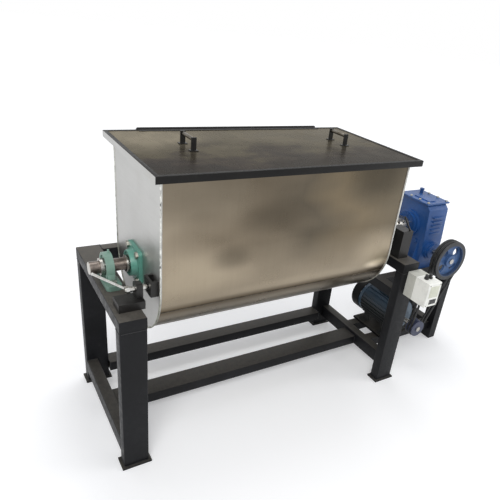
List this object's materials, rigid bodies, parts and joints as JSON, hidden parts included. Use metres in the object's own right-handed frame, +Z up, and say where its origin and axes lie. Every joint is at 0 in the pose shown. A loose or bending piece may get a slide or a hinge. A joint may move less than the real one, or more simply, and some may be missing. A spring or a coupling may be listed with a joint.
{
  "type": "tilting trough ribbon mixer",
  "caption": "Tilting U-shaped steel trough with a double ribbon agitator on a long shaft, hinged lid, tube frame, worm reducer with belt-driven motor, tilt lock and control box.",
  "frame": {"origin": "middle of the overall footprint, on the floor under the feet", "axes": "+X along the trough and the agitator shaft towards the drive, +Y to the back where the lid hinge is, +Z up"},
  "size_m": [2.028, 0.7966, 1.25],
  "materials": {
    "black_paint": "satin black enamel",
    "stainless": "brushed",
    "lid_steel": "brushed",
    "green_cast": "gloss green enamel on cast iron",
    "blue_cast": "gloss blue enamel on cast iron",
    "motor_paint": "blue-grey enamel",
    "cowl_black": "satin black",
    "bright_steel": "turned",
    "shaft_steel": "turned",
    "dark_steel": "satin",
    "zinc": "zinc plated",
    "belt_rubber": "matte",
    "seal_rubber": "matte",
    "box_grey": "moulded",
    "box_white": "moulded",
    "button_dark": "moulded",
    "gland_black": "moulded"
  },
  "bodies": {
    "frame": {"cable_glands": "gland_black", "control_box_base": "box_grey", "control_box_cover": "box_white", "drive_belts": "belt_rubber", "end_beam_left": "black_paint", "end_beam_right": "black_paint", "foot_plates": "black_paint", "leg_back_left": "black_paint", "leg_back_right": "black_paint", "leg_front_left": "black_paint", "leg_front_right": "black_paint", "lock_blocks": "dark_steel", "lower_rail_back": "black_paint", "lower_rail_left": "black_paint", "lower_rail_middle": "black_paint", "lower_rail_right": "black_paint", "motor_body": "motor_paint", "motor_end_shields": "motor_paint", "motor_fan_cowl": "cowl_black", "motor_plate": "black_paint", "motor_terminal_box": "motor_paint", "mounting_bolts": "zinc", "pillow_block_left": "green_cast", "pillow_block_right": "green_cast", "reducer_case": "blue_cast", "reducer_covers": "blue_cast", "stand_legs": "black_paint", "stand_rails": "black_paint", "stand_top_plate": "black_paint", "top_rail_back": "black_paint"},
    "trough": {"trough_shell": "stainless", "trough_end_left": "stainless", "trough_end_right": "stainless", "trough_rim": "stainless", "flange_bearing_left": "green_cast", "flange_bearing_right": "green_cast", "shaft_seals": "seal_rubber", "lock_lug": "dark_steel", "hinge_leaf_trough": "stainless", "hinge_pin": "shaft_steel", "flange_bolts": "zinc"},
    "lid": {"lid_pan": "lid_steel", "lid_handle_left": "dark_steel", "lid_handle_right": "dark_steel", "hinge_leaf_lid": "stainless"},
    "agitator": {"main_shaft": "shaft_steel", "outer_ribbon_left": "stainless", "outer_ribbon_right": "stainless", "inner_ribbons": "stainless", "ribbon_arms": "stainless", "bearing_inner_rings": "shaft_steel", "shaft_coupling": "shaft_steel", "reducer_output_shaft": "shaft_steel"},
    "worm": {"worm_shaft": "shaft_steel", "large_pulley": "blue_cast"},
    "motor_rotor": {"motor_shaft": "shaft_steel", "motor_pulley": "motor_paint", "motor_fan": "gland_black"},
    "lock_plunger": {"lock_pin": "bright_steel"},
    "power_button": {"start_button": "button_dark"}
  },
  "joints": [
    {"name": "trough_tilt", "type": "hinge", "parent": "frame", "child": "trough", "pos_m": [-0.261, 0.06825, 0.7572], "axis": [1, 0, 0], "range_deg": [0, 110]},
    {"name": "lid_swing", "type": "hinge", "parent": "trough", "child": "lid", "pos_m": [-0.261, 0.38425, 1.2], "axis": [-1, 0, 0], "range_deg": [0, 105]},
    {"name": "agitator_spin", "type": "hinge", "parent": "frame", "child": "agitator", "pos_m": [-0.261, 0.06825, 0.7572], "axis": [1, 0, 0], "continuous": true},
    {"name": "worm_spin", "type": "hinge", "parent": "frame", "child": "worm", "pos_m": [0.759, 0.06825, 0.6372], "axis": [0, 1, 0], "continuous": true},
    {"name": "motor_spin", "type": "hinge", "parent": "frame", "child": "motor_rotor", "pos_m": [0.644, 0.06825, 0.24], "axis": [0, 1, 0], "continuous": true},
    {"name": "lock_slide", "type": "slide", "parent": "frame", "child": "lock_plunger", "axis": [1, 0, 0], "range_m": [0, 0.018]},
    {"name": "button_press", "type": "slide", "parent": "frame", "child": "power_button", "axis": [0, 1, 0], "range_m": [0, 0.002], "stiffness_N_per_m": 800}
  ],
  "couplings": [
    {"joint": "worm_spin", "follows": "agitator_spin", "ratio": 20},
    {"joint": "motor_spin", "follows": "agitator_spin", "ratio": 50}
  ]
}
